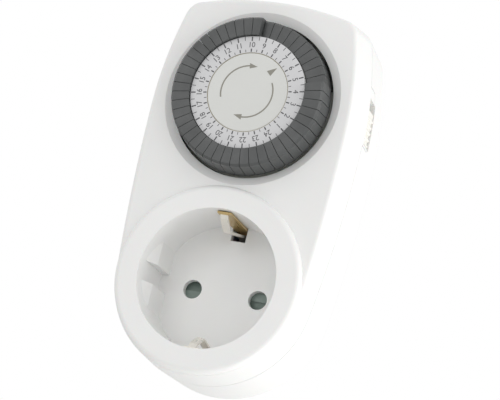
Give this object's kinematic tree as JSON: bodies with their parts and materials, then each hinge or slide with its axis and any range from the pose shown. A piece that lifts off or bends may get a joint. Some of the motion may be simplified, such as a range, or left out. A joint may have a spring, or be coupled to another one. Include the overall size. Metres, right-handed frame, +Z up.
{
  "type": "plug in timer switch",
  "caption": "Wall plug timer switch with an earthed socket in a round collar, a ring of trip pins round a 24-hour dial, and a side override slider.",
  "frame": {"origin": "middle of the plug face, between the two pins, where it seats in the wall socket", "axes": "+Z up towards the dial, -Y the front with the dial and socket, +Y out of the plug face along the pins, +X to the right seen from the front"},
  "size_m": [0.0606, 0.071, 0.1078],
  "materials": {
    "case_white": "satin moulded white",
    "dial_white": "satin white with a slight violet cast, printed scale",
    "hub_cream": "satin cream, printed arrows",
    "slider_cream": "satin cream with ribs",
    "trip_grey": "satin dark grey",
    "screw_steel": "zinc plated",
    "frame_nylon": "natural moulded",
    "switch_phenolic": "dark brown moulded",
    "gear_acetal": "natural moulded",
    "magnet_black": "filled black magnet",
    "coil_wire": "enamelled copper winding",
    "can_zinc": "zinc plated deep drawn",
    "lead_red": "insulated lead",
    "contact_brass": "bright pressed strip",
    "nickel_strip": "nickel plated strip",
    "nickel_pin": "nickel plated turned pin",
    "spring_steel": "spring steel",
    "shutter_green": "dark grey green moulded"
  },
  "bodies": {
    "case": {"front_cover": "case_white", "rear_cover": "case_white", "mechanism_plate": "frame_nylon", "case_screws": "screw_steel", "plate_screws": "screw_steel", "hub_cap": "hub_cream", "gear_axles": "screw_steel", "coil_bobbin": "frame_nylon", "coil_winding": "coil_wire", "motor_can": "can_zinc", "motor_leads": "lead_red", "follower_axle": "screw_steel", "fixed_contact": "contact_brass", "switch_base": "switch_phenolic", "detent_spring": "spring_steel", "line_pin": "nickel_pin", "neutral_pin": "nickel_pin", "line_sleeve": "contact_brass", "neutral_sleeve": "contact_brass", "line_bar": "contact_brass", "neutral_link": "contact_brass", "earth_strip_top": "nickel_strip", "earth_strip_bottom": "nickel_strip", "earth_link": "nickel_strip", "shutter_spring": "spring_steel"},
    "dial": {"dial_carrier": "frame_nylon", "dial_plate": "dial_white"},
    "pinion": {"drive_pinion": "gear_acetal"},
    "output": {"output_wheel": "gear_acetal"},
    "wheel_a": {"reduction_wheel_a": "gear_acetal"},
    "wheel_b": {"reduction_wheel_b": "gear_acetal"},
    "rotor_body": {"rotor": "magnet_black"},
    "follower": {"follower_lever": "frame_nylon"},
    "blade": {"contact_blade": "contact_brass"},
    "slider": {"override_slider": "slider_cream"},
    "shutter_body": {"shutter": "shutter_green"},
    "trip_01": {"trip_pins_01": "trip_grey"},
    "trip_02": {"trip_pins_02": "trip_grey"},
    "trip_03": {"trip_pins_03": "trip_grey"},
    "trip_04": {"trip_pins_04": "trip_grey"},
    "trip_05": {"trip_pins_05": "trip_grey"},
    "trip_06": {"trip_pins_06": "trip_grey"},
    "trip_07": {"trip_pins_07": "trip_grey"},
    "trip_08": {"trip_pins_08": "trip_grey"},
    "trip_09": {"trip_pins_09": "trip_grey"},
    "trip_10": {"trip_pins_10": "trip_grey"},
    "trip_11": {"trip_pins_11": "trip_grey"},
    "trip_12": {"trip_pins_12": "trip_grey"},
    "trip_13": {"trip_pins_13": "trip_grey"},
    "trip_14": {"trip_pins_14": "trip_grey"},
    "trip_15": {"trip_pins_15": "trip_grey"},
    "trip_16": {"trip_pins_16": "trip_grey"},
    "trip_17": {"trip_pins_17": "trip_grey"},
    "trip_18": {"trip_pins_18": "trip_grey"},
    "trip_19": {"trip_pins_19": "trip_grey"},
    "trip_20": {"trip_pins_20": "trip_grey"},
    "trip_21": {"trip_pins_21": "trip_grey"},
    "trip_22": {"trip_pins_22": "trip_grey"},
    "trip_23": {"trip_pins_23": "trip_grey"},
    "trip_24": {"trip_pins_24": "trip_grey"}
  },
  "joints": [
    {"name": "dial_turn", "type": "hinge", "parent": "case", "child": "dial", "pos_m": [0, 0, 0.0516], "axis": [0, 1, 0], "continuous": true},
    {"name": "pinion_turn", "type": "hinge", "parent": "case", "child": "pinion", "pos_m": [-0.01691, 0, 0.04544], "axis": [0, 1, 0], "continuous": true},
    {"name": "rotor_turn", "type": "hinge", "parent": "case", "child": "rotor_body", "pos_m": [-0.007, 0, 0.0516], "axis": [0, 1, 0], "continuous": true},
    {"name": "wheel_a_turn", "type": "hinge", "parent": "case", "child": "wheel_a", "pos_m": [-0.01244, 0, 0.05584], "axis": [0, 1, 0], "continuous": true},
    {"name": "wheel_b_turn", "type": "hinge", "parent": "case", "child": "wheel_b", "pos_m": [-0.0183, 0, 0.0522], "axis": [0, 1, 0], "continuous": true},
    {"name": "output_turn", "type": "hinge", "parent": "case", "child": "output", "pos_m": [-0.01691, 0, 0.04544], "axis": [0, 1, 0], "continuous": true},
    {"name": "trip_01_slide", "type": "slide", "parent": "dial", "child": "trip_01", "axis": [0, 1, 0], "range_m": [0, 0.0025]},
    {"name": "trip_02_slide", "type": "slide", "parent": "dial", "child": "trip_02", "axis": [0, 1, 0], "range_m": [0, 0.0025]},
    {"name": "trip_03_slide", "type": "slide", "parent": "dial", "child": "trip_03", "axis": [0, 1, 0], "range_m": [0, 0.0025]},
    {"name": "trip_04_slide", "type": "slide", "parent": "dial", "child": "trip_04", "axis": [0, 1, 0], "range_m": [0, 0.0025]},
    {"name": "trip_05_slide", "type": "slide", "parent": "dial", "child": "trip_05", "axis": [0, 1, 0], "range_m": [-0.0025, 0]},
    {"name": "trip_06_slide", "type": "slide", "parent": "dial", "child": "trip_06", "axis": [0, 1, 0], "range_m": [-0.0025, 0]},
    {"name": "trip_07_slide", "type": "slide", "parent": "dial", "child": "trip_07", "axis": [0, 1, 0], "range_m": [-0.0025, 0]},
    {"name": "trip_08_slide", "type": "slide", "parent": "dial", "child": "trip_08", "axis": [0, 1, 0], "range_m": [-0.0025, 0]},
    {"name": "trip_09_slide", "type": "slide", "parent": "dial", "child": "trip_09", "axis": [0, 1, 0], "range_m": [-0.0025, 0]},
    {"name": "trip_10_slide", "type": "slide", "parent": "dial", "child": "trip_10", "axis": [0, 1, 0], "range_m": [0, 0.0025]},
    {"name": "trip_11_slide", "type": "slide", "parent": "dial", "child": "trip_11", "axis": [0, 1, 0], "range_m": [0, 0.0025]},
    {"name": "trip_12_slide", "type": "slide", "parent": "dial", "child": "trip_12", "axis": [0, 1, 0], "range_m": [0, 0.0025]},
    {"name": "trip_13_slide", "type": "slide", "parent": "dial", "child": "trip_13", "axis": [0, 1, 0], "range_m": [0, 0.0025]},
    {"name": "trip_14_slide", "type": "slide", "parent": "dial", "child": "trip_14", "axis": [0, 1, 0], "range_m": [0, 0.0025]},
    {"name": "trip_15_slide", "type": "slide", "parent": "dial", "child": "trip_15", "axis": [0, 1, 0], "range_m": [0, 0.0025]},
    {"name": "trip_16_slide", "type": "slide", "parent": "dial", "child": "trip_16", "axis": [0, 1, 0], "range_m": [0, 0.0025]},
    {"name": "trip_17_slide", "type": "slide", "parent": "dial", "child": "trip_17", "axis": [0, 1, 0], "range_m": [0, 0.0025]},
    {"name": "trip_18_slide", "type": "slide", "parent": "dial", "child": "trip_18", "axis": [0, 1, 0], "range_m": [0, 0.0025]},
    {"name": "trip_19_slide", "type": "slide", "parent": "dial", "child": "trip_19", "axis": [0, 1, 0], "range_m": [0, 0.0025]},
    {"name": "trip_20_slide", "type": "slide", "parent": "dial", "child": "trip_20", "axis": [0, 1, 0], "range_m": [0, 0.0025]},
    {"name": "trip_21_slide", "type": "slide", "parent": "dial", "child": "trip_21", "axis": [0, 1, 0], "range_m": [0, 0.0025]},
    {"name": "trip_22_slide", "type": "slide", "parent": "dial", "child": "trip_22", "axis": [0, 1, 0], "range_m": [0, 0.0025]},
    {"name": "trip_23_slide", "type": "slide", "parent": "dial", "child": "trip_23", "axis": [0, 1, 0], "range_m": [0, 0.0025]},
    {"name": "trip_24_slide", "type": "slide", "parent": "dial", "child": "trip_24", "axis": [0, 1, 0], "range_m": [0, 0.0025]},
    {"name": "follower_turn", "type": "hinge", "parent": "case", "child": "follower", "pos_m": [0.022, -0.0346, 0.0658], "axis": [0, 0, 1], "range_deg": [0, 14.9]},
    {"name": "blade_flex", "type": "hinge", "parent": "case", "child": "blade", "pos_m": [0.0145, -0.0302, 0.0433], "axis": [1, 0, 0], "range_deg": [0, 4.75]},
    {"name": "override_slide", "type": "slide", "parent": "case", "child": "slider", "axis": [0, 0, 1], "range_m": [0, 0.0025]},
    {"name": "shutter_turn", "type": "hinge", "parent": "case", "child": "shutter_body", "pos_m": [0, -0.0267, 0], "axis": [0, -1, 0], "range_deg": [0, 36], "stiffness_Nm_per_rad": 0.0005, "springref_deg": -17.19}
  ],
  "couplings": [
    {"joint": "pinion_turn", "follows": "dial_turn", "ratio": -4},
    {"joint": "wheel_a_turn", "follows": "rotor_turn", "ratio": -0.27778},
    {"joint": "wheel_b_turn", "follows": "rotor_turn", "ratio": 0.07716},
    {"joint": "output_turn", "follows": "rotor_turn", "ratio": -0.021433},
    {"joint": "follower_turn", "follows": "trip_07_slide", "rad_per_m": -103.4},
    {"joint": "blade_flex", "follows": "trip_07_slide", "rad_per_m": -33.1}
  ]
}
